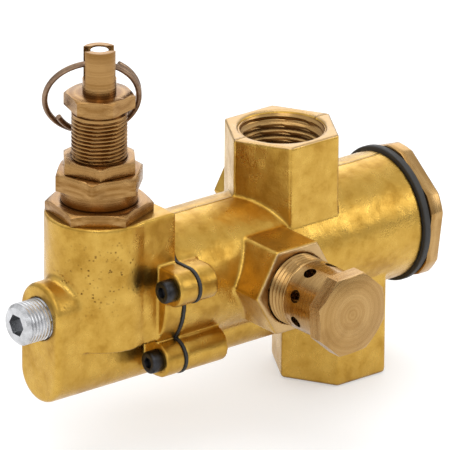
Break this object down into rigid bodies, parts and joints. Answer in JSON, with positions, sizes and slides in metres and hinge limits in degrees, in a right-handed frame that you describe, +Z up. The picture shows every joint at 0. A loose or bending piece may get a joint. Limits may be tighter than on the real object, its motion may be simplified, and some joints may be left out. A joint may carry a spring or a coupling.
{
  "type": "unloader valve",
  "caption": "Brass pilot-operated unloader valve with threaded ports, side vent plug and a pull ring on the pilot's adjusting stem.",
  "frame": {"origin": "centre of the lower (tank) port's face", "axes": "+X along the main bore from the pilot end to the end cap, -Y towards the vent plug, +Z up from the tank port to the inlet port"},
  "size_m": [0.1168, 0.0764, 0.0981],
  "materials": {
    "forged_brass": "forged and tumbled, satin, with slight stains",
    "cast_brass": "cast, satin, pitted on its front",
    "machined_brass": "turned and milled, fine tool lines",
    "gasket_rubber": "black sheet gasket",
    "seal_rubber": "black moulded rubber",
    "black_steel": "black oxide",
    "zinc_steel": "zinc plated",
    "bright_steel": "ground",
    "spring_steel": "drawn spring wire",
    "bronze_wire": "dark, tarnished wire"
  },
  "bodies": {
    "valve_body": {"main_body": "forged_brass", "pilot_body": "cast_brass", "body_gasket": "gasket_rubber", "flange_screws": "black_steel", "pipe_plug": "zinc_steel", "jam_nut": "machined_brass", "bonnet": "machined_brass", "lock_nut": "machined_brass", "adjusting_screw": "machined_brass", "upper_spring_button": "machined_brass", "pilot_seat": "machined_brass", "vent_plug": "machined_brass", "end_cap": "machined_brass", "end_cap_seal": "seal_rubber", "regulating_spring": "spring_steel", "unloader_spring": "spring_steel", "check_spring": "spring_steel"},
    "lift_stem": {"lift_stem": "bright_steel", "lower_spring_button": "machined_brass", "pilot_ball": "bright_steel"},
    "pull_ring": {"pull_ring": "bronze_wire"},
    "unloader": {"unloader_piston": "machined_brass", "piston_seal": "seal_rubber", "vent_seal": "seal_rubber", "vent_poppet": "machined_brass", "poppet_nut": "machined_brass"},
    "check_valve": {"check_poppet": "machined_brass", "check_seal": "seal_rubber", "check_nut": "machined_brass"}
  },
  "joints": [
    {"name": "stem_lift", "type": "slide", "parent": "valve_body", "child": "lift_stem", "axis": [0, 0, 1], "range_m": [0, 0.0025], "stiffness_N_per_m": 2000, "springref_m": -0.004, "deforming": ["regulating_spring"]},
    {"name": "ring_swing", "type": "hinge", "parent": "lift_stem", "child": "pull_ring", "pos_m": [-0.0704, 0, 0.0944], "axis": [0.848, -0.5299, 0], "range_deg": [0, 300]},
    {"name": "piston_travel", "type": "slide", "parent": "valve_body", "child": "unloader", "axis": [1, 0, 0], "range_m": [0, 0.003], "stiffness_N_per_m": 3000, "springref_m": -0.003, "deforming": ["unloader_spring"]},
    {"name": "check_travel", "type": "slide", "parent": "valve_body", "child": "check_valve", "axis": [1, 0, 0], "range_m": [0, 0.004], "stiffness_N_per_m": 200, "springref_m": -0.004, "deforming": ["check_spring"]}
  ]
}
